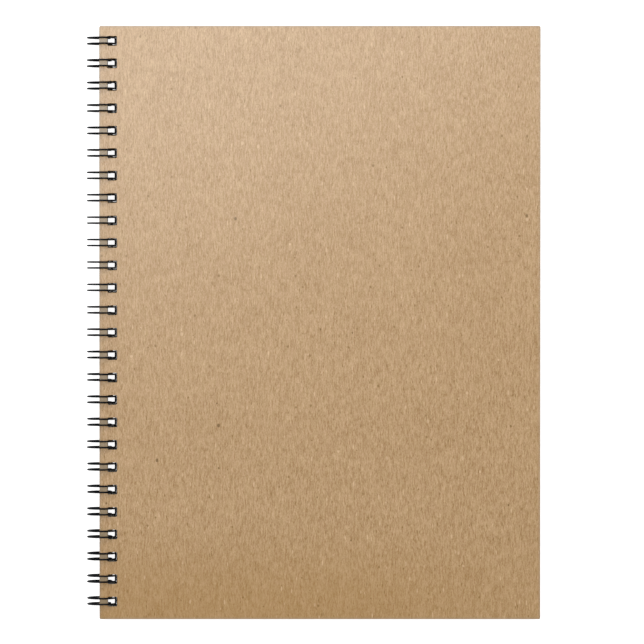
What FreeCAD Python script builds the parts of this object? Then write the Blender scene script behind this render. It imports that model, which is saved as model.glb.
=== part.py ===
import FreeCAD, Part

import math
import os

import Sketcher

from FreeCAD import Placement, Rotation, Vector

# A sketchbook: board covers and drawing sheets on a closed twin-loop wire binding.
# Frame: the origin is the middle of the back cover's outer face, +X runs from
# the binding to the fore-edge, +Y to the head and +Z up out of the front cover.
# The covers and sheets turn on one line, just outside their binding edges.

DIMENSIONS = {
    "book_width": 166.5,
    "book_height": 224.0,
    "front_board": 0.6,
    "back_board": 0.8,
    "paper_thickness": 0.17,
    "leaf_gap": 0.02,
    "sheet_count": 20,
    "sheet_inset": 0.5,
    "corner_radius": 0.6,
    "hole_count": 26,
    "hole_pitch": 25.4 / 3,
    "hole_size": 3.6,
    "hole_margin": 3.08,
    "hole_row_shift": 0.5,
    "hole_corner_radius": 0.45,
    "rest_panel_margin": 7.5,
    "hinge_offset": 0.04,
    "ring_offset": 0.76,
    "ring_radius": 5.2,
    "wire_radius": 0.34,
    "wire_shift": 0.15,
    "strand_spacing": 2.25,
    "base_bend_radius": 1.2,
    "base_angle": -52.0,
    "tip_drop": 1.9,
}

DERIVED = {
    "sheet_pitch": "=paper_thickness + leaf_gap",
    "block_bottom": "=back_board + leaf_gap",
    "front_cover_bottom": "=block_bottom + sheet_count * sheet_pitch",
    "book_thickness": "=front_cover_bottom + front_board",
    "spine_x": "=-book_width / 2",
    "hole_left": "=spine_x + hole_margin",
    "first_hole_y": "=hole_row_shift - (hole_count - 1) * hole_pitch / 2",
    "pattern_length": "=(hole_count - 1) * hole_pitch",
}

doc = FreeCAD.newDocument("Sketchbook")
sheet = doc.addObject("Spreadsheet::Sheet", "dimensions")


def fill_sheet():
    """Writes one named row for each driving dimension and each derived one."""
    rows = {**{name: repr(value) for name, value in DIMENSIONS.items()}, **DERIVED}
    for row, (name, value) in enumerate(rows.items(), start=1):
        sheet.set(f"A{row}", name)
        sheet.set(f"B{row}", value)
        sheet.setAlias(f"B{row}", name)
    doc.recompute()


def from_origin(body, role):
    """One of the body's own origin planes or axes, found by its role."""
    return next(f for f in body.Origin.OriginFeatures if f.Role == role)


def flat_sketch(body, name):
    """A sketch on the body's XY plane, which is the leaf's lower face."""
    sketch = body.newObject("Sketcher::SketchObject", name)
    sketch.AttachmentSupport = [(from_origin(body, "XY_Plane"), "")]
    sketch.MapMode = "FlatFace"
    return sketch


def bound_rectangle(sketch, left, bottom, width, height):
    """A rectangle whose corner and sides are expressions on the sheet."""
    corners = [Vector(0, 0, 0), Vector(10, 0, 0), Vector(10, 10, 0), Vector(0, 10, 0)]
    for start, end in zip(corners, corners[1:] + corners[:1]):
        sketch.addGeometry(Part.LineSegment(start, end))
    for side in range(4):
        sketch.addConstraint(Sketcher.Constraint("Coincident", side, 2, (side + 1) % 4, 1))
    for side in (0, 2):
        sketch.addConstraint(Sketcher.Constraint("Horizontal", side))
    for side in (1, 3):
        sketch.addConstraint(Sketcher.Constraint("Vertical", side))
    bound = [
        ("DistanceX", (0, 1, 0, 2), 10.0, width),
        ("DistanceY", (1, 1, 1, 2), 10.0, height),
        ("DistanceX", (-1, 1, 0, 1), 1.0, left),
        ("DistanceY", (-1, 1, 0, 1), 1.0, bottom),
    ]
    for kind, ends, start_value, expression in bound:
        index = sketch.addConstraint(Sketcher.Constraint(kind, *ends, start_value))
        sketch.setExpression(f"Constraints[{index}]", expression)


def add_pad(body, name, sketch, thickness):
    """A pad of the sketch, upwards by a thickness bound to the sheet."""
    pad = body.newObject("PartDesign::Pad", name)
    pad.Profile = sketch
    pad.Refine = False
    pad.setExpression("Length", thickness)
    return pad


def add_hole_row(body, thickness):
    """One square hole cut through the leaf, then repeated along the binding."""
    sketch = flat_sketch(body, "hole_sketch")
    bound_rectangle(
        sketch,
        "dimensions.hole_left",
        "dimensions.first_hole_y - dimensions.hole_size / 2",
        "dimensions.hole_size",
        "dimensions.hole_size",
    )
    hole = body.newObject("PartDesign::Pocket", "hole")
    hole.Profile = sketch
    hole.Reversed = True
    hole.Refine = False
    hole.setExpression("Length", thickness)
    row = body.newObject("PartDesign::LinearPattern", "hole_row")
    row.Originals = [hole]
    row.Direction = (from_origin(body, "Y_Axis"), [""])
    row.Refine = False
    row.setExpression("Length", "dimensions.pattern_length")
    row.setExpression("Occurrences", "dimensions.hole_count")
    body.Tip = row
    return row


def upright_edges(shape, wanted):
    """The names of the shape's vertical straight edges that wanted accepts by place."""
    names = []
    for index, edge in enumerate(shape.Edges, start=1):
        box = edge.BoundBox
        if box.XLength < 1e-6 and box.YLength < 1e-6 and wanted(box.Center):
            names.append(f"Edge{index}")
    return names


def round_upright_edges(body, name, base, radius, wanted):
    """A fillet on the vertical edges that wanted accepts, bound to the sheet."""
    doc.recompute()
    fillet = body.newObject("PartDesign::Fillet", name)
    fillet.Base = (base, upright_edges(base.Shape, wanted))
    fillet.Refine = False
    fillet.Radius = 0.1
    fillet.setExpression("Radius", radius)
    body.Tip = fillet
    return fillet


def new_leaf(name, bottom):
    """The empty body of a cover or sheet, at its height in the closed book."""
    body = doc.addObject("PartDesign::Body", name)
    body.Label = name
    body.setExpression("Placement.Base.z", bottom)
    return body


def build_cover(name, bottom, thickness, split):
    """A board cover: rounded corners and a row of holes with rounded corners.

    A split cover is padded as a binding margin and a rest panel, which keeps the
    seam between their faces: the panel is the flat that the closed book lies on.
    """
    body = new_leaf(name, bottom)
    edge = "dimensions.spine_x"
    low = "-dimensions.book_height / 2"
    width = "dimensions.book_width"
    margin = "dimensions.rest_panel_margin"
    strips = [(edge, width)]
    if split:
        strips = [(edge, margin), (f"{edge} + {margin}", f"{width} - {margin}")]
    for number, (left, across) in enumerate(strips, start=1):
        sketch = flat_sketch(body, f"outline_{number}")
        bound_rectangle(sketch, left, low, across, "dimensions.book_height")
        add_pad(body, f"board_{number}", sketch, thickness)
    row = add_hole_row(body, thickness)

    half_width = float(sheet.book_width) / 2
    half_height = float(sheet.book_height) / 2
    hole_right = float(sheet.hole_left) + float(sheet.hole_size)

    def is_outer_corner(point):
        at_side = abs(abs(point.x) - half_width) < 1e-6
        return at_side and abs(abs(point.y) - half_height) < 1e-6

    def is_hole_corner(point):
        inside = abs(point.y) < half_height - 1e-6
        return inside and -half_width + 1e-6 < point.x < hole_right + 1e-6

    rounded = round_upright_edges(
        body, "outer_corners", row, "dimensions.corner_radius", is_outer_corner
    )
    round_upright_edges(
        body, "hole_corners", rounded, "dimensions.hole_corner_radius", is_hole_corner
    )
    return body


def build_sheet(number):
    """A drawing sheet, cut a little short of the covers on its three free sides."""
    level = f"(dimensions.sheet_count - {number}) * dimensions.sheet_pitch"
    body = new_leaf(f"sheet_{number:02d}", f"dimensions.block_bottom + {level}")
    sketch = flat_sketch(body, "outline")
    bound_rectangle(
        sketch,
        "dimensions.spine_x",
        "-dimensions.book_height / 2 + dimensions.sheet_inset",
        "dimensions.book_width - dimensions.sheet_inset",
        "dimensions.book_height - 2 * dimensions.sheet_inset",
    )
    add_pad(body, "paper", sketch, "dimensions.paper_thickness")
    add_hole_row(body, "dimensions.paper_thickness")
    return body


class WirePath:
    """Lays the wire's skin face by face along arcs and straights that join smoothly."""

    def __init__(self, start, direction, radius):
        self.point = start
        self.direction = direction
        self.ring = Part.makeCircle(radius, start, direction)
        self.faces = [self.cap()]

    def cap(self):
        return Part.Face(Part.Wire([self.ring]))

    def arc(self, centre, axis, degrees):
        """Bends the wire about an axis through centre."""
        self.faces.append(self.ring.revolve(centre, axis, degrees))
        turn = Rotation(axis, degrees)
        self.ring.rotate(centre, axis, degrees)
        self.point = centre + turn.multVec(self.point - centre)
        self.direction = turn.multVec(self.direction)

    def bend_towards(self, side, radius, degrees):
        """Bends the wire to the given side, which is square to its direction."""
        self.arc(self.point + side * radius, self.direction.cross(side), degrees)

    def straight(self, length):
        step = self.direction * length
        self.faces.append(self.ring.extrude(step))
        self.ring.translate(step)
        self.point = self.point + step

    def solid(self):
        self.faces.append(self.cap())
        shell = Part.Compound(self.faces)
        shell.sewShape()
        return Part.makeSolid(Part.Shell(shell.Faces))


def build_wire():
    """One continuous wire: a finger of two strands round the ring for each hole.

    Each finger starts at the base, runs under, round the spine and over the book,
    and straight down through its hole to its tip, where it turns back. Neighbouring
    fingers join in a flat bend at the base. The closed seam lies behind the back cover.
    """
    centre_x = float(sheet.spine_x) - float(sheet.hinge_offset) + float(sheet.ring_offset)
    centre_z = float(sheet.book_thickness) / 2
    ring_radius = float(sheet.ring_radius)
    half_space = float(sheet.strand_spacing) / 2
    bend_radius = float(sheet.base_bend_radius)
    base = math.radians(float(sheet.base_angle))
    sweep = 360 + float(sheet.base_angle)
    tip_drop = float(sheet.tip_drop)
    holes = int(sheet.hole_count)
    bar = float(sheet.hole_pitch) - 2 * half_space - 2 * bend_radius

    across = Vector(0, 1, 0)
    start_y = float(sheet.first_hole_y) + float(sheet.wire_shift) - half_space
    start = Vector(
        centre_x + ring_radius * math.cos(base), start_y, centre_z + ring_radius * math.sin(base)
    )
    round_the_spine = Vector(math.sin(base), 0, -math.cos(base))
    path = WirePath(start, round_the_spine, float(sheet.wire_radius))
    for number in range(holes):
        path.arc(Vector(centre_x, path.point.y, centre_z), across, sweep)
        path.straight(tip_drop)
        path.bend_towards(across, half_space, 180)
        path.straight(tip_drop)
        path.arc(Vector(centre_x, path.point.y, centre_z), across, -sweep)
        if number < holes - 1:
            path.bend_towards(across, bend_radius, 90)
            path.straight(bar)
            path.bend_towards(round_the_spine, bend_radius, 90)
    wire = doc.addObject("Part::Feature", "binding_wire")
    wire.Label = "binding_wire"
    wire.Shape = path.solid()
    wire.Placement = Placement()
    return wire


def check_and_write(parts):
    """Stops on any failed object or bad shape, then writes each sub-part."""
    for thing in doc.Objects:
        if {"Invalid", "Error"} & set(thing.State):
            raise RuntimeError(f"{thing.Label} failed: {thing.State}")
    for part in parts:
        shape = part.Shape
        if shape.isNull() or not shape.isValid() or len(shape.Solids) != 1:
            raise RuntimeError(f"{part.Label} is not one valid solid")
    os.makedirs("parts", exist_ok=True)
    for part in parts:
        part.Shape.exportStep(f"parts/{part.Label}.step")


def main():
    fill_sheet()
    parts = [
        build_cover("back_cover", "0 mm", "dimensions.back_board", split=True),
        build_cover(
            "front_cover", "dimensions.front_cover_bottom", "dimensions.front_board", split=False
        ),
    ]
    parts += [build_sheet(number) for number in range(1, int(sheet.sheet_count) + 1)]
    parts.append(build_wire())
    doc.recompute()
    check_and_write(parts)


main()
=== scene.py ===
import math
import random

import bpy
import numpy as np
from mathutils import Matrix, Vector


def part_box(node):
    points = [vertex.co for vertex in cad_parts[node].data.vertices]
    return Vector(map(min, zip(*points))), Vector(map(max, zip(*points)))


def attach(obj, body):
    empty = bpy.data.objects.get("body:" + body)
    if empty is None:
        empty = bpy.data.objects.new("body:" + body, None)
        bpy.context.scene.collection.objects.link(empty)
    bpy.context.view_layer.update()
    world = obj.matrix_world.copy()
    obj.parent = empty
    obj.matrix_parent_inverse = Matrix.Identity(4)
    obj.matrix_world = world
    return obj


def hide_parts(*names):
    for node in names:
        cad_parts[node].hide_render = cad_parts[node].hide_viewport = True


MM = 0.001
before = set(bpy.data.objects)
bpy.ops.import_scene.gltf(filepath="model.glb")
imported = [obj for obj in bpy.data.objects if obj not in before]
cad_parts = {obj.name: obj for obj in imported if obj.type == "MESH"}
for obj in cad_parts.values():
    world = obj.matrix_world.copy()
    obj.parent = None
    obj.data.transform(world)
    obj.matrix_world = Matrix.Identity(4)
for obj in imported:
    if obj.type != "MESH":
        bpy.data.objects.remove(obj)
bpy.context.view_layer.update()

# The binding. The wire's fingers lie a little towards the head from the middle of their holes.
# Each finger starts behind the book at the base angle, runs round the ring and drops into its
# hole, where it turns back.
WIRE_RADIUS = 0.34 * MM
WIRE_SHIFT = 0.15 * MM
STRAND_SPACING = 2.25 * MM
BASE_BEND = 1.2 * MM
BASE_ANGLE = math.radians(-52)
TIP_DROP = 1.9 * MM
HOLE_COUNT = 26
HOLE_SIZE = 3.6 * MM
HOLE_MARGIN = 3.08 * MM
# How far the holes' walls draw in from the front cover to the back, at each side.
NARROWING_FORE_EDGE = 0.38 * MM
NARROWING_HEAD = 0.12 * MM
NARROWING_TAIL = 0.44 * MM

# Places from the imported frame. The wire starts and ends with a strand beside its first and
# last hole, so its length along the spine gives the pitch.
WIRE_LOW, WIRE_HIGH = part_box("binding_wire")
FIRST_FINGER_Y = WIRE_LOW.y + WIRE_RADIUS + STRAND_SPACING / 2
LAST_FINGER_Y = WIRE_HIGH.y - WIRE_RADIUS - STRAND_SPACING / 2
PITCH = (LAST_FINGER_Y - FIRST_FINGER_Y) / (HOLE_COUNT - 1)
FIRST_HOLE_Y = FIRST_FINGER_Y - WIRE_SHIFT
RING_RADIUS = (WIRE_HIGH.z - WIRE_LOW.z) / 2 - WIRE_RADIUS
RING_X = WIRE_LOW.x + WIRE_RADIUS + RING_RADIUS
RING_Z = (WIRE_LOW.z + WIRE_HIGH.z) / 2

BACK_LOW, BACK_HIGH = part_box("back_cover")
FRONT_LOW, FRONT_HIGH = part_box("front_cover")
SPINE_X = FRONT_LOW.x
SHEETS = sorted(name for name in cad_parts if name.startswith("sheet_"))


# ---------------------------------------------------------------- meshes


def cosine(degrees):
    return math.cos(math.radians(degrees))


def sine(degrees):
    return math.sin(math.radians(degrees))


def new_object(name, vertices, faces, material):
    """A smooth-shaded mesh object from vertices and lists of corner numbers."""
    mesh = bpy.data.meshes.new(name)
    mesh.from_pydata([tuple(v) for v in vertices], [], faces)
    mesh.validate()
    mesh.shade_smooth()
    mesh.materials.append(material)
    obj = bpy.data.objects.new(name, mesh)
    bpy.context.scene.collection.objects.link(obj)
    return obj


def stands_for(obj, node, body):
    """The piece takes a CAD node's place on its body."""
    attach(obj, body)
    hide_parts(node)
    return obj


def hole_ring(grow, corner, per_side):
    """Points round a rounded square hole about its middle, and the way each one's wall faces.

    grow widens the hole on every side. The ring runs anticlockwise from the middle of the
    low-left corner, with per_side points for each side.
    """
    half = HOLE_SIZE / 2 + grow
    radius = corner + grow
    inner = half - radius
    steps = per_side // 2 - 1
    turns = [(-inner, 225 + 45 * k / steps) for k in range(steps + 1)]
    side = [(x + radius * cosine(a), -inner + radius * sine(a), -cosine(a), -sine(a))
            for x, a in turns]
    side.append((0.0, -half, 0.0, 1.0))
    turns = [(inner, 270 + 45 * k / steps) for k in range(steps)]
    side += [(x + radius * cosine(a), -inner + radius * sine(a), -cosine(a), -sine(a))
             for x, a in turns]
    ring = []
    for quarter in range(4):
        c, s = round(cosine(90 * quarter)), round(sine(90 * quarter))
        ring += [(c * x - s * y, s * x + c * y, c * u - s * v, s * u + c * v)
                 for x, y, u, v in side]
    return ring


def spread(start, end, step):
    """Evenly spaced values from start to end, about step apart, without the start."""
    count = max(1, round(abs(end - start) / step))
    return [start + (end - start) * (k + 1) / count for k in range(count)]


def book_wave(x, y):
    """The slight common wave of the closed book, so that its leaves stay nested."""
    along = max(0.0, (x - SPINE_X) / (FRONT_HIGH.x - SPINE_X))
    side = y / FRONT_HIGH.y
    lift = 0.22 * along ** 3 * side ** 2 + 0.10 * along * math.sin(2.3 * side + 0.6)
    return lift * along * MM


def narrowed(offset, z, low_side, high_side):
    """A place in a hole, as its distance from the middle, drawn in with the depth in the book.

    The front cover's holes are full, and the back cover's are drawn in by low_side or high_side.
    """
    depth = (FRONT_LOW.z - z) / (FRONT_LOW.z - BACK_HIGH.z)
    draw = min(1.0, max(0.0, depth)) * (high_side if offset > 0 else low_side)
    return offset * (1 - 2 * draw / HOLE_SIZE)


class LeafMesh:
    """A punched leaf made of quads: two faces, a rounded outer edge and rounded holes."""

    def __init__(self, low, high, bevel, corner, hole_corner, per_side, step):
        self.low, self.high, self.bevel = low, high, bevel
        self.hole_corner, self.per_side = hole_corner, per_side
        self.radius = max(corner - bevel, bevel)
        self.vertices, self.normals, self.faces = [], [], []
        self.levels = [(bevel * (1 - cosine(t)), high.z - bevel * (1 - sine(t)), t)
                       for t in (90, 45, 0)]
        self.levels += [(inset, low.z + high.z - z, -t) for inset, z, t in self.levels[::-1]]
        self.make_lines(step)
        self.build()

    def make_lines(self, step):
        """Grid lines: fine round the holes and wide over the rest of the leaf."""
        low, high, inset = self.low, self.high, self.bevel + self.radius
        n = self.per_side
        rim = (PITCH - HOLE_SIZE) / 4
        left = SPINE_X + HOLE_MARGIN - rim
        right = left + HOLE_SIZE + 2 * rim
        cell = [left + (right - left) * k / n for k in range(n + 1)]
        after = spread(right, high.x - inset, step)[:-1]
        self.xs = self.edge_lines(low.x, high.x, cell + after)
        self.cell_column = self.xs.index(left)
        start = FIRST_HOLE_Y - PITCH / 2
        cells = [start + PITCH * k / n for k in range(HOLE_COUNT * n + 1)]
        before = spread(start, low.y + inset, step)[:-1][::-1]
        beyond = spread(cells[-1], high.y - inset, step)[:-1]
        self.ys = self.edge_lines(low.y, high.y, before + cells + beyond)
        self.cell_row = self.ys.index(start)

    def edge_lines(self, low, high, middle):
        """The middle lines, with three more at each end that leave room for the corners."""
        near = [self.bevel + share * self.radius for share in (0, 0.5, 1)]
        return [low + d for d in near] + middle + [high - d for d in near[::-1]]

    def add(self, x, y, z, normal):
        """A vertex on the waved leaf, with the way its surface faces."""
        reach = 0.5 * MM
        slope_x = (book_wave(x + reach, y) - book_wave(x - reach, y)) / (2 * reach)
        slope_y = (book_wave(x, y + reach) - book_wave(x, y - reach)) / (2 * reach)
        across, along, up = normal
        tilted = Vector((across - up * slope_x, along - up * slope_y, up))
        self.normals.append(tilted.normalized())
        self.vertices.append((x, y, z + book_wave(x, y)))
        return len(self.vertices) - 1

    def add_grid(self, z, side):
        """One face of the leaf, open at its holes. Returns the numbers of its vertices."""
        columns, rows, n = len(self.xs), len(self.ys), self.per_side
        number = {}
        for i in range(columns):
            for j in range(rows):
                in_cell = self.cell_column < i < self.cell_column + n
                row = j - self.cell_row
                if in_cell and 0 < row < HOLE_COUNT * n and row % n:
                    continue
                point = (self.xs[i], self.ys[j])
                if i in (0, columns - 1) or j in (0, rows - 1):
                    point = self.rounded(*point)
                number[i, j] = self.add(*point, z, (0, 0, side))
        for i in range(columns - 1):
            for j in range(rows - 1):
                over_hole = self.cell_column <= i < self.cell_column + n
                if over_hole and 0 <= j - self.cell_row < HOLE_COUNT * n:
                    continue
                quad = [number[i, j], number[i + 1, j], number[i + 1, j + 1], number[i, j + 1]]
                self.faces.append(quad[::side])
        return number

    def rounded(self, x, y):
        """Moves a point on the grid's border onto its rounded corner."""
        radius, hair = self.radius, 1e-9
        for corner_x, way_x in ((self.xs[0], 1), (self.xs[-1], -1)):
            for corner_y, way_y in ((self.ys[0], 1), (self.ys[-1], -1)):
                off_x, off_y = (x - corner_x) * way_x, (y - corner_y) * way_y
                if max(off_x, off_y) > radius + hair or min(off_x, off_y) > hair:
                    continue
                angle = math.pi / 4 * (1 + (off_x - off_y) / radius)
                return (corner_x + way_x * radius * (1 - math.sin(math.pi / 2 - angle)),
                        corner_y + way_y * radius * (1 - math.sin(angle)))
        return x, y

    def border(self):
        """Grid places round the leaf, anticlockwise from above."""
        right, top = len(self.xs) - 1, len(self.ys) - 1
        return (
            [(i, 0) for i in range(right)]
            + [(right, j) for j in range(top)]
            + [(i, top) for i in range(right, 0, -1)]
            + [(0, j) for j in range(top, 0, -1)]
        )

    def cell_border(self, hole):
        """Grid places round a hole's cell, anticlockwise from its low-left corner."""
        n, i, j = self.per_side, self.cell_column, self.cell_row + hole * self.per_side
        return (
            [(i + k, j) for k in range(n)]
            + [(i + n, j + k) for k in range(n)]
            + [(i + n - k, j + n) for k in range(n)]
            + [(i, j + n - k) for k in range(n)]
        )

    def join(self, above, below):
        """Quads between two rings that run anticlockwise round the outside of the leaf."""
        for k in range(len(above)):
            following = (k + 1) % len(above)
            self.faces.append([above[k], below[k], below[following], above[following]])

    def outer_ring(self, inset, z, turn):
        """The leaf's outline at one level of its rounded edge."""
        ring = []
        middle_x = (self.xs[0] + self.radius, self.xs[-1] - self.radius)
        middle_y = (self.ys[0] + self.radius, self.ys[-1] - self.radius)
        for i, j in self.border():
            x, y = self.rounded(self.xs[i], self.ys[j])
            away = Vector((x - min(max(x, middle_x[0]), middle_x[1]),
                           y - min(max(y, middle_y[0]), middle_y[1]))).normalized()
            grow = self.bevel - inset
            normal = (away.x * cosine(turn), away.y * cosine(turn), sine(turn))
            ring.append(self.add(x + away.x * grow, y + away.y * grow, z, normal))
        return ring

    def build(self):
        top = self.add_grid(self.high.z, 1)
        bottom = self.add_grid(self.low.z, -1)
        rings = [[top[place] for place in self.border()]]
        rings += [self.outer_ring(*level) for level in self.levels[1:-1]]
        rings.append([bottom[place] for place in self.border()])
        for above, below in zip(rings, rings[1:]):
            self.join(above, below)
        for hole in range(HOLE_COUNT):
            self.punch(hole, top, bottom)

    def punch(self, hole, top, bottom):
        """The rounded wall of one hole and the ring of quads round it on both faces."""
        centre_x = SPINE_X + HOLE_MARGIN + HOLE_SIZE / 2
        centre_y = FIRST_HOLE_Y + hole * PITCH
        places = self.cell_border(hole)
        rings = [[top[place] for place in places]]
        for inset, z, turn in self.levels:
            ring = hole_ring(inset, self.hole_corner, self.per_side)
            rings.append([
                self.add(centre_x + narrowed(x, z, 0.0, NARROWING_FORE_EDGE),
                         centre_y + narrowed(y, z, NARROWING_TAIL, NARROWING_HEAD), z,
                         (u * cosine(turn), v * cosine(turn), sine(turn)))
                for x, y, u, v in ring
            ])
        rings.append([bottom[place] for place in places])
        for above, below in zip(rings, rings[1:]):
            self.join(above[::-1], below[::-1])


def new_leaf(name, leaf, material):
    """A leaf's object, shaded with the normals that its mesh was built with."""
    obj = new_object(name, leaf.vertices, leaf.faces, material)
    obj.data.normals_split_custom_set_from_vertices(leaf.normals)
    return obj


# ---------------------------------------------------------------- the wire


def rotated(vector, axis, angle):
    """Vectors turned about a unit axis."""
    return (
        vector * math.cos(angle)
        + np.cross(axis, vector) * math.sin(angle)
        + axis * np.dot(axis, vector) * (1 - math.cos(angle))
    )


class WirePath:
    """The wire's centre line, laid point by point along arcs and straights."""

    def __init__(self, start, direction):
        self.point, self.direction = start, direction
        self.points = [start]

    def arc(self, centre, axis, angle, step):
        count = max(2, math.ceil(abs(angle) / step))
        arm, heading = self.point - centre, self.direction
        for k in range(1, count + 1):
            self.points.append(centre + rotated(arm, axis, angle * k / count))
        self.point = self.points[-1]
        self.direction = rotated(heading, axis, angle)

    def bend(self, side, radius, angle, step):
        self.arc(self.point + side * radius, np.cross(self.direction, side), angle, step)

    def straight(self, length, count):
        for k in range(1, count + 1):
            self.points.append(self.point + self.direction * length * k / count)
        self.point = self.points[-1]


# The most that a finger strays along the spine, and in parts of its width and its ring.
FINGER_SWAY = 0.05 * MM
FINGER_PINCH = 0.03
FINGER_LIFT = 0.006


def wire_centre_line():
    """One line round all the loops, with the slight unevenness of a closed wire."""
    along = np.array([0.0, 1.0, 0.0])
    half = STRAND_SPACING / 2
    sweep = 2 * math.pi + BASE_ANGLE
    base = np.array([math.cos(BASE_ANGLE), 0, math.sin(BASE_ANGLE)]) * RING_RADIUS
    start = base + np.array([RING_X, FIRST_FINGER_Y - half, RING_Z])
    outwards = np.array([math.sin(BASE_ANGLE), 0, -math.cos(BASE_ANGLE)])
    path = WirePath(start, outwards)
    bar = PITCH - 2 * half - 2 * BASE_BEND
    coarse, fine = math.radians(6), math.radians(15)
    draw = random.Random(26)
    for hole in range(HOLE_COUNT):
        first = len(path.points) - 1
        path.arc(np.array([RING_X, path.point[1], RING_Z]), along, sweep, coarse)
        path.straight(TIP_DROP, 6)
        path.bend(along, half, math.pi, fine)
        path.straight(TIP_DROP, 6)
        path.arc(np.array([RING_X, path.point[1], RING_Z]), along, -sweep, coarse)
        uneven(path.points, first, hole, draw)
        if hole < HOLE_COUNT - 1:
            path.bend(along, BASE_BEND, math.pi / 2, fine)
            path.straight(bar, 3)
            path.bend(outwards, BASE_BEND, math.pi / 2, fine)
    return np.array(path.points)


def uneven(points, first, hole, draw):
    """Moves one finger by hundredths of a millimetre: its tip sideways, its ring in or out."""
    sway, pinch, lift = (draw.uniform(-1, 1) for _ in range(3))
    centre_y = FIRST_FINGER_Y + hole * PITCH
    count = len(points) - first
    for k in range(count):
        share = 1 - abs(2 * k / (count - 1) - 1)
        ease = share * share * (3 - 2 * share)
        x, y, z = points[first + k]
        y += ease * (sway * FINGER_SWAY + (y - centre_y) * pinch * FINGER_PINCH)
        out = 1 + math.sin(math.pi * share) * lift * FINGER_LIFT
        points[first + k] = np.array(
            [RING_X + (x - RING_X) * out, y, RING_Z + (z - RING_Z) * out]
        )


def sweep_round(points, radius, sides):
    """A round skin along a line, carried without twist, closed by slightly domed ends."""
    steps = np.gradient(points, axis=0)
    steps /= np.linalg.norm(steps, axis=1)[:, None]
    normal = np.cross(steps[0], [0.0, 1.0, 0.0])
    normal /= np.linalg.norm(normal)
    angles = np.linspace(0, 2 * math.pi, sides, endpoint=False)
    rings = []
    for point, step in zip(points, steps):
        normal = normal - step * np.dot(normal, step)
        normal /= np.linalg.norm(normal)
        other = np.cross(step, normal)
        circle = np.outer(np.cos(angles), normal) + np.outer(np.sin(angles), other)
        rings.append(point + radius * circle)
    faces = []
    for ring in range(len(rings) - 1):
        for side in range(sides):
            a, b = ring * sides + side, ring * sides + (side + 1) % sides
            faces.append([a, b, b + sides, a + sides])
    vertices = list(np.concatenate(rings))
    for end, turn in ((0, -1), (len(rings) - 1, 1)):
        centre = len(vertices)
        vertices.append(points[end] + steps[end] * turn * radius * 0.15)
        for side in range(sides):
            a, b = end * sides + side, end * sides + (side + 1) % sides
            faces.append([b, a, centre] if turn < 0 else [a, b, centre])
    return vertices, faces


# ---------------------------------------------------------------- materials


class Nodes:
    """A short way to wire a material: each call makes one node and returns its output."""

    def __init__(self, name):
        self.material = bpy.data.materials.new(name)
        self.material.use_nodes = True
        self.tree = self.material.node_tree
        self.shader = self.tree.nodes["Principled BSDF"]
        self.place = self.make("ShaderNodeTexCoord").outputs["Object"]

    def make(self, kind, settings=None, **inputs):
        node = self.tree.nodes.new(kind)
        for key, value in (settings or {}).items():
            setattr(node, key, value)
        for key, value in inputs.items():
            self.feed(node.inputs[key.replace("_", " ")], value)
        return node

    def feed(self, socket, value):
        if isinstance(value, bpy.types.NodeSocket):
            self.tree.links.new(value, socket)
        elif value is not None:
            socket.default_value = value

    def math(self, operation, a, b=0.0, clamp=False):
        node = self.tree.nodes.new("ShaderNodeMath")
        node.operation, node.use_clamp = operation, clamp
        self.feed(node.inputs[0], a)
        self.feed(node.inputs[1], b)
        return node.outputs[0]

    def vector(self, operation, a, b=(0, 0, 0), scale=None):
        node = self.tree.nodes.new("ShaderNodeVectorMath")
        node.operation = operation
        self.feed(node.inputs[0], a)
        if scale is None:
            self.feed(node.inputs[1], b)
        else:
            self.feed(node.inputs["Scale"], scale)
        return node.outputs["Value" if operation in ("LENGTH", "DOT_PRODUCT") else "Vector"]

    def axes(self, vector):
        """A vector's parts, by the names X, Y and Z."""
        return self.make("ShaderNodeSeparateXYZ", Vector=vector).outputs

    def ramp(self, value, low, high, out_low=0.0, out_high=1.0):
        """Carries value from low..high to out_low..out_high, clamped, with a soft start."""
        node = self.tree.nodes.new("ShaderNodeMapRange")
        node.interpolation_type = "SMOOTHSTEP"
        for index, number in enumerate((value, low, high, out_low, out_high)):
            self.feed(node.inputs[index], number)
        return node.outputs[0]

    def noise(self, place, size, stretch=(1, 1, 1), detail=2.0, roughness=0.5):
        """Noise about size metres across, longer where stretch is above 1."""
        scaled = self.vector("MULTIPLY", place, tuple(1 / (size * s) for s in stretch))
        node = self.make("ShaderNodeTexNoise", Vector=scaled, Scale=1.0, Detail=detail,
                         Roughness=roughness)
        return node.outputs["Fac"]

    def cells(self, place, size, stretch=(1, 1, 1), randomness=1.0):
        """Scattered points, one in each cell of about size metres, in the scaled place."""
        scaled = self.vector("MULTIPLY", place, tuple(1 / (size * s) for s in stretch))
        return scaled, self.make("ShaderNodeTexVoronoi", Vector=scaled, Scale=1.0,
                                 Randomness=randomness)

    def mix(self, share, a, b, blend="MIX"):
        node = self.tree.nodes.new("ShaderNodeMix")
        node.data_type, node.blend_type = "RGBA", blend
        self.feed(node.inputs[0], share)
        for socket, value in zip(node.inputs[6:8], (a, b)):
            self.feed(socket, (*value, 1.0) if isinstance(value, tuple) else value)
        return node.outputs[2]

    def shade(self, colour, amount):
        """The colour times a grey amount."""
        return self.vector("SCALE", colour, scale=amount)

    def bump(self, height, distance, strength=1.0):
        node = self.make("ShaderNodeBump", Height=height, Distance=distance, Strength=strength)
        self.feed(self.shader.inputs["Normal"], node.outputs[0])

    def finish(self, **inputs):
        for key, value in inputs.items():
            self.feed(self.shader.inputs[key.replace("_", " ")], value)
        return self.material


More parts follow.
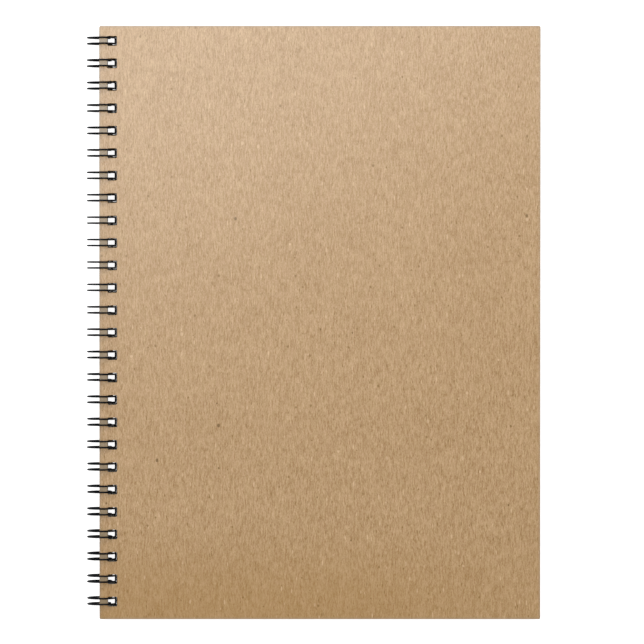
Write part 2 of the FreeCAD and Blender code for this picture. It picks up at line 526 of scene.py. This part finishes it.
# The board's colours: the tone runs from dark to pale, and a painted shade deepens it towards the
# tail edge, where the light falls off.
KRAFT_DARK = (0.274, 0.146, 0.044)
KRAFT_PALE = (0.554, 0.372, 0.196)
# Painted shade towards the tail edge.
KRAFT_TAIL_SHADE = (0.325, 0.170, 0.031)
ROSY_TINT = (1.006, 0.997, 1.015)
YELLOW_TINT = (0.994, 1.003, 0.985)
DARK_FIBRE = (0.17, 0.090, 0.012)
PALE_FIBRE = (0.68, 0.48, 0.285)
RIM_BROWN = (0.33, 0.25, 0.165)
# Painted shadow of the wire's strands on the board between them.
STRAND_SHADOW_BROWN = (0.29, 0.225, 0.14)
SPOT_BROWN = (0.12, 0.060, 0.008)
PLY_DARK = (0.20, 0.15, 0.10)
PLY_PALE = (0.33, 0.25, 0.165)
# Painted shade: the near-black colour of the holes' deep walls, which little light reaches.
HOLE_WALL_SHADE = (0.005, 0.005, 0.005)
# Flecks in the board: cell size, stretch, reach within the cell, share of the cells that
# hold one, strength and colour. Short brown fibres, pale fibres, specks and rarer spots.
KRAFT_FLECKS = (
    (1.5 * MM, (0.55, 1.9, 1), 0.50 * MM, 0.55, 0.55, DARK_FIBRE),
    (2.6 * MM, (0.55, 1.9, 1), 0.70 * MM, 0.40, 0.48, PALE_FIBRE),
    (6.0 * MM, (1, 1.2, 1), 0.75 * MM, 0.35, 0.50, PALE_FIBRE),
    (2.9 * MM, (1, 1.3, 1), 0.55 * MM, 0.40, 0.65, DARK_FIBRE),
    (10 * MM, (1, 1.3, 1), 0.85 * MM, 0.45, 0.75, SPOT_BROWN),
)
# Stray hairs: cell size, thickness, share of the cells that hold one and strength.
KRAFT_HAIRS = (
    (6 * MM, 0.16 * MM, 0.22, 0.34),
    (3.6 * MM, 0.14 * MM, 0.22, 0.30),
)


def flat_place(nodes):
    """Coordinates that start somewhere else on each object, so no two boards match."""
    shift = nodes.make("ShaderNodeObjectInfo").outputs["Random"]
    offset = nodes.make("ShaderNodeCombineXYZ", X=shift, Y=nodes.math("MULTIPLY", shift, 0.37))
    return nodes.vector("ADD", nodes.place, offset.outputs[0])


def edge_mask(nodes):
    """1 on the cut edges of a leaf and 0 on its faces."""
    facing = nodes.axes(nodes.make("ShaderNodeTexCoord").outputs["Normal"])
    return nodes.ramp(nodes.math("ABSOLUTE", facing["Z"]), 0.85, 0.35)


def hole_wall_shade_mask(nodes):
    """1 on the holes' walls at the head, the tail and the fore-edge side, which are coloured with
    painted shade.
    """
    axes = nodes.axes(nodes.place)
    room = 0.5 * MM
    beside = nodes.math("SUBTRACT", axes["X"], SPINE_X + HOLE_MARGIN - room)
    before = nodes.math("SUBTRACT", beside, HOLE_SIZE + 2 * room)
    inside = nodes.math("MULTIPLY", nodes.math("GREATER_THAN", beside, 0.0),
                        nodes.math("LESS_THAN", before, 0.0))
    off_ends = nodes.math("LESS_THAN", nodes.math("ABSOLUTE", axes["Y"]),
                          FRONT_HIGH.y - 3 * room)
    facing = nodes.axes(nodes.make("ShaderNodeTexCoord").outputs["Normal"])
    side = nodes.ramp(nodes.math("MAXIMUM", nodes.math("ABSOLUTE", facing["Y"]),
                                 nodes.math("MULTIPLY", facing["X"], -1.0)), 0.3, 0.7)
    return nodes.math("MULTIPLY", nodes.math("MULTIPLY", inside, off_ends), side)


def rim_mask(nodes):
    """1 at a cover's cut edge, fading to 0 about a millimetre in."""
    axes = nodes.axes(nodes.place)
    reach = [nodes.math("SUBTRACT", high, nodes.math("ABSOLUTE", axes[name]))
             for name, high in (("X", FRONT_HIGH.x), ("Y", FRONT_HIGH.y))]
    return nodes.ramp(nodes.math("MINIMUM", *reach), 1.0 * MM, 0.0)


def strand_shadow_mask(nodes):
    """1 on the board between a finger's two strands, from the spine to the hole, where a painted
    shadow of the strands darkens it.
    """
    axes = nodes.axes(nodes.place)
    aside = nodes.math("PINGPONG", nodes.math("SUBTRACT", axes["Y"], FIRST_FINGER_Y), PITCH / 2)
    strip = nodes.ramp(aside, 0.50 * STRAND_SPACING, 0.35 * STRAND_SPACING)
    hole_edge = SPINE_X + HOLE_MARGIN
    return nodes.math("MULTIPLY", strip, nodes.ramp(axes["X"], hole_edge + 0.3 * MM, hole_edge))


def tail_shade_mask(nodes):
    """Painted shade: rises from 0 to 1 over the last 40 mm to the tail, and less so at the
    fore-edge.
    """
    axes = nodes.axes(nodes.place)
    near_tail = nodes.ramp(axes["Y"], -FRONT_HIGH.y + 40 * MM, -FRONT_HIGH.y + 2 * MM)
    return nodes.math("MULTIPLY", near_tail, nodes.ramp(axes["X"], 0.0, FRONT_HIGH.x, 1.0, 0.3))


def specks(nodes, place, size, stretch, radius, presence):
    """Scattered dots: cells of the given size, of which a share hold a dot, up to radius wide."""
    cell = nodes.cells(place, size, stretch)[1]
    pick = nodes.make("ShaderNodeSeparateColor", Color=cell.outputs["Color"])
    width = nodes.math("MULTIPLY", pick.outputs["Green"], radius / size)
    dot = nodes.ramp(nodes.math("DIVIDE", cell.outputs["Distance"], width), 1.0, 0.55)
    chosen = nodes.math("LESS_THAN", pick.outputs["Red"], presence)
    return nodes.math("MULTIPLY", dot, chosen)


def hairs(nodes, place, size, thickness, presence):
    """Scattered curved fibres: each chosen cell shows part of a circle's line."""
    wobble = nodes.noise(place, size * 0.35)
    scaled, cell = nodes.cells(place, size, randomness=0.8)
    pick = nodes.make("ShaderNodeSeparateColor", Color=cell.outputs["Color"])
    away = nodes.vector("SUBTRACT", scaled, cell.outputs["Position"])
    bent = nodes.math("ADD", nodes.vector("LENGTH", away),
                      nodes.math("MULTIPLY", nodes.math("SUBTRACT", wobble, 0.5), 0.25))
    bow = nodes.ramp(pick.outputs["Green"], 0.0, 1.0, 0.14, 0.36)
    off_line = nodes.math("ABSOLUTE", nodes.math("SUBTRACT", bent, bow))
    line = nodes.ramp(off_line, thickness / size, 0.35 * thickness / size)
    turn = nodes.math("MULTIPLY", pick.outputs["Blue"], 2 * math.pi)
    facing = nodes.make("ShaderNodeCombineXYZ", X=nodes.math("COSINE", turn),
                        Y=nodes.math("SINE", turn)).outputs[0]
    heading = nodes.vector("DOT_PRODUCT", nodes.vector("NORMALIZE", away), facing)
    part = nodes.ramp(heading, 0.25, 0.55)
    chosen = nodes.math("LESS_THAN", pick.outputs["Red"], presence)
    return nodes.math("MULTIPLY", nodes.math("MULTIPLY", line, part), chosen)


def kraft_material():
    """Uncoated kraft board: short upright fibres, soft mottling, specks and stray hairs."""
    nodes = Nodes("kraft_board")
    place = flat_place(nodes)
    streak = nodes.noise(place, 0.42 * MM, (1, 5.5, 1), detail=1.5, roughness=0.6)
    grain = nodes.noise(place, 0.22 * MM, (1, 3, 1), detail=1.0)
    mottle = nodes.noise(place, 5 * MM, (1, 1.5, 1), detail=4.0, roughness=0.65)
    cloud = nodes.noise(place, 30 * MM, detail=2.0)
    tone = nodes.math("ADD", nodes.ramp(streak, 0.2, 0.8, -0.30, 0.30),
                      nodes.ramp(grain, 0.2, 0.8, -0.22, 0.22))
    tone = nodes.math("ADD", tone, nodes.ramp(mottle, 0.25, 0.75, -0.05, 0.05))
    tone = nodes.math("ADD", tone, nodes.ramp(cloud, 0.3, 0.7, 0.48, 0.52))
    hue = nodes.noise(nodes.vector("ADD", place, (0.7, 0.2, 0)), 2.8 * MM, (1, 1.6, 1), detail=3.0)
    tint = nodes.mix(nodes.ramp(hue, 0.3, 0.7), ROSY_TINT, YELLOW_TINT)
    colour = nodes.mix(1.0, nodes.mix(tone, KRAFT_DARK, KRAFT_PALE), tint, "MULTIPLY")
    # Painted shade, darkening the board towards the tail edge.
    colour = nodes.mix(nodes.math("MULTIPLY", tail_shade_mask(nodes), 0.35), colour, KRAFT_TAIL_SHADE)
    for cell, stretch, reach, share, strength, fleck in KRAFT_FLECKS:
        shifted = nodes.vector("ADD", place, (cell * 31, cell * 17, 0))
        spots = specks(nodes, shifted, cell, stretch, reach, share)
        colour = nodes.mix(nodes.math("MULTIPLY", spots, strength), colour, fleck)
    for cell, thickness, share, strength in KRAFT_HAIRS:
        shifted = nodes.vector("ADD", place, (cell * 23, cell * 11, 0))
        lines = hairs(nodes, shifted, cell, thickness, share)
        colour = nodes.mix(nodes.math("MULTIPLY", lines, strength), colour, DARK_FIBRE)
    edge = edge_mask(nodes)
    plies = nodes.noise(place, 0.5 * MM, (6, 6, 0.18), detail=2.0)
    cut = nodes.mix(nodes.ramp(plies, 0.35, 0.65), PLY_DARK, PLY_PALE)
    # Painted shade on the holes' walls.
    cut = nodes.mix(hole_wall_shade_mask(nodes), cut, HOLE_WALL_SHADE)
    colour = nodes.mix(nodes.math("MULTIPLY", rim_mask(nodes), 0.6), colour, RIM_BROWN)
    # Painted shadow of the wire's strands, greying the board between them.
    colour = nodes.mix(nodes.math("MULTIPLY", strand_shadow_mask(nodes), 0.75), colour, STRAND_SHADOW_BROWN)
    colour = nodes.mix(edge, colour, cut)
    height = nodes.math("ADD", nodes.math("MULTIPLY", streak, 0.6),
                        nodes.math("MULTIPLY", grain, 0.4))
    nodes.bump(height, 0.02 * MM, 0.2)
    return nodes.finish(Base_Color=colour, Roughness=0.25, Specular_IOR_Level=0.75)


PAPER_WARM = (0.80, 0.775, 0.715)
PAPER_PALE = (0.83, 0.81, 0.755)
PAPER_FIBRE = (0.45, 0.40, 0.33)
PAPER_CUT_DARK = (0.62, 0.59, 0.53)
PAPER_CUT_PALE = (0.78, 0.755, 0.70)


def paper_material():
    """Heavy drawing paper: warm white, lightly toothed, a shade darker at its cut edges."""
    nodes = Nodes("drawing_paper")
    place = flat_place(nodes)
    tooth = nodes.noise(place, 0.35 * MM, detail=2.0)
    felt = nodes.noise(place, 2.5 * MM, detail=3.0)
    random_tone = nodes.make("ShaderNodeObjectInfo").outputs["Random"]
    tone = nodes.math("ADD", nodes.ramp(felt, 0.3, 0.7, 0.985, 1.01),
                      nodes.ramp(random_tone, 0.0, 1.0, -0.02, 0.02))
    colour = nodes.shade(nodes.mix(nodes.ramp(felt, 0.3, 0.7), PAPER_WARM, PAPER_PALE), tone)
    fibre = hairs(nodes, place, 8 * MM, 0.09 * MM, 0.3)
    colour = nodes.mix(nodes.math("MULTIPLY", fibre, 0.10), colour, PAPER_FIBRE)
    edge = edge_mask(nodes)
    plies = nodes.noise(place, 0.4 * MM, (5, 5, 0.2), detail=2.0)
    cut = nodes.mix(plies, PAPER_CUT_DARK, PAPER_CUT_PALE)
    # Painted shade on the holes' walls.
    cut = nodes.mix(hole_wall_shade_mask(nodes), cut, HOLE_WALL_SHADE)
    colour = nodes.mix(edge, colour, cut)
    height = nodes.math("ADD", nodes.math("MULTIPLY", tooth, 0.7), nodes.math("MULTIPLY", felt, 0.3))
    nodes.bump(height, 0.03 * MM, 0.6)
    return nodes.finish(Base_Color=colour, Roughness=0.75, Specular_IOR_Level=0.35)


COATING_BLACK = (0.0040, 0.0048, 0.0062)
COATING_DUSTY = (0.0085, 0.0100, 0.0128)


def wire_material():
    """Black nylon coating over steel wire: satin, faintly rippled, with a cool sheen."""
    nodes = Nodes("coated_wire")
    ripple = nodes.noise(nodes.place, 0.5 * MM, detail=2.0)
    dust = nodes.noise(nodes.place, 2.2 * MM, detail=3.0)
    colour = nodes.mix(nodes.ramp(dust, 0.4, 0.75), COATING_BLACK, COATING_DUSTY)
    nodes.bump(ripple, 0.012 * MM, 0.5)
    rough = nodes.ramp(dust, 0.3, 0.7, 0.30, 0.40)
    return nodes.finish(Base_Color=colour, Roughness=rough, Specular_IOR_Level=0.15)


def floor_material():
    """A plain pale floor. Its glow is for the camera only, so it lights nothing from below."""
    nodes = Nodes("pale_floor")
    soft = nodes.noise(nodes.place, 60 * MM, detail=2.0)
    colour = nodes.mix(soft, (0.60, 0.60, 0.60), (0.62, 0.62, 0.62))
    seen = nodes.make("ShaderNodeLightPath").outputs["Is Camera Ray"]
    return nodes.finish(Base_Color=colour, Roughness=0.9, Specular_IOR_Level=0.0,
                        Emission_Color=(1.0, 1.0, 1.0, 1.0),
                        Emission_Strength=nodes.math("MULTIPLY", seen, 0.9))


# ---------------------------------------------------------------- the book


def make_cover(node, material):
    low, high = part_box(node)
    leaf = LeafMesh(low, high, 0.11 * MM, 0.6 * MM, 0.45 * MM, 6, 6 * MM)
    cover = new_leaf(f"{node}_board", leaf, material)
    return stands_for(cover, node, node)


def make_sheet(node, material, draw):
    """A sheet whose free edges are cut up to about 0.15 mm off its neighbours'."""
    low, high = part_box(node)
    high = high + Vector((draw.uniform(-0.16, 0.12), draw.uniform(-0.14, 0.14), 0)) * MM
    low = low + Vector((0, draw.uniform(-0.14, 0.14), 0)) * MM
    leaf = LeafMesh(low, high, 0.02 * MM, 0.3 * MM, 0.25 * MM, 4, 12 * MM)
    sheet = new_leaf(f"{node}_paper", leaf, material)
    return stands_for(sheet, node, node)


def make_wire(material):
    vertices, faces = sweep_round(wire_centre_line(), WIRE_RADIUS, 14)
    wire = new_object("binding_wire_loops", vertices, faces, material)
    return stands_for(wire, "binding_wire", "binding_wire")


# ---------------------------------------------------------------- the studio


def make_floor(material):
    """A table top that the wire and the back cover's fore-edge both touch."""
    fall = math.atan2(BACK_LOW.z - WIRE_LOW.z, BACK_HIGH.x - RING_X)
    reach = 4.0
    corners = [(x, y, x * math.tan(fall)) for x, y in
               ((-reach, -reach), (reach, -reach), (reach, reach), (-reach, reach))]
    drop = BACK_HIGH.x * math.tan(fall) - BACK_LOW.z + 0.02 * MM
    floor = new_object("floor", [(x, y, z - drop) for x, y, z in corners], [[0, 1, 2, 3]], material)


def make_camera():
    """Straight above the book and far back, a little towards its head."""
    distance, sensor, across = 1.9, 36.0, 243.05 * MM
    aim = Vector((0.8 * MM, 0.3 * MM, FRONT_HIGH.z))
    offset = 28 * MM
    data = bpy.data.cameras.new("camera")
    data.sensor_width = sensor
    data.lens = sensor * distance / across
    data.clip_end = 20
    camera = bpy.data.objects.new("camera", data)
    bpy.context.scene.collection.objects.link(camera)
    camera.location = aim + Vector((0, offset, distance))
    camera.rotation_euler = (-math.atan2(offset, distance), 0, 0)
    bpy.context.scene.camera = camera


def make_light(name, place, aim, size, power, diffuse=True, glossy=True):
    """A square soft light. It may give only gloss, or none."""
    data = bpy.data.lights.new(name, "AREA")
    data.shape, data.size, data.energy = "SQUARE", size, power
    light = bpy.data.objects.new(name, data)
    bpy.context.scene.collection.objects.link(light)
    light.location = place
    light.rotation_euler = (Vector(aim) - Vector(place)).to_track_quat("-Z", "Y").to_euler()
    light.visible_diffuse, light.visible_glossy = diffuse, glossy


def make_world(strength):
    world = bpy.data.worlds.new("studio")
    world.use_nodes = True
    background = world.node_tree.nodes["Background"]
    background.inputs["Color"].default_value = (1.0, 1.0, 1.0, 1.0)
    background.inputs["Strength"].default_value = strength
    bpy.context.scene.world = world
    world.cycles_visibility.glossy = False


def make_studio():
    scene = bpy.context.scene
    scene.view_settings.view_transform = "Standard"
    scene.view_settings.look = "None"
    make_floor(floor_material())
    make_camera()
    make_world(0.22)
    make_light("soft", place=(-0.03, 0.25, 0.9), aim=(0, 0, 0), size=1.1, power=11.9,
               glossy=False)
    make_light("sheen", place=(-0.15, 0.34, 1.1), aim=(0, 0.03, 0), size=0.6, power=4.2,
               diffuse=False)


def main():
    kraft = kraft_material()
    paper = paper_material()
    make_cover("back_cover", kraft)
    make_cover("front_cover", kraft)
    draw = random.Random(8)
    for node in SHEETS:
        make_sheet(node, paper, draw)
    make_wire(wire_material())
    make_studio()


main()
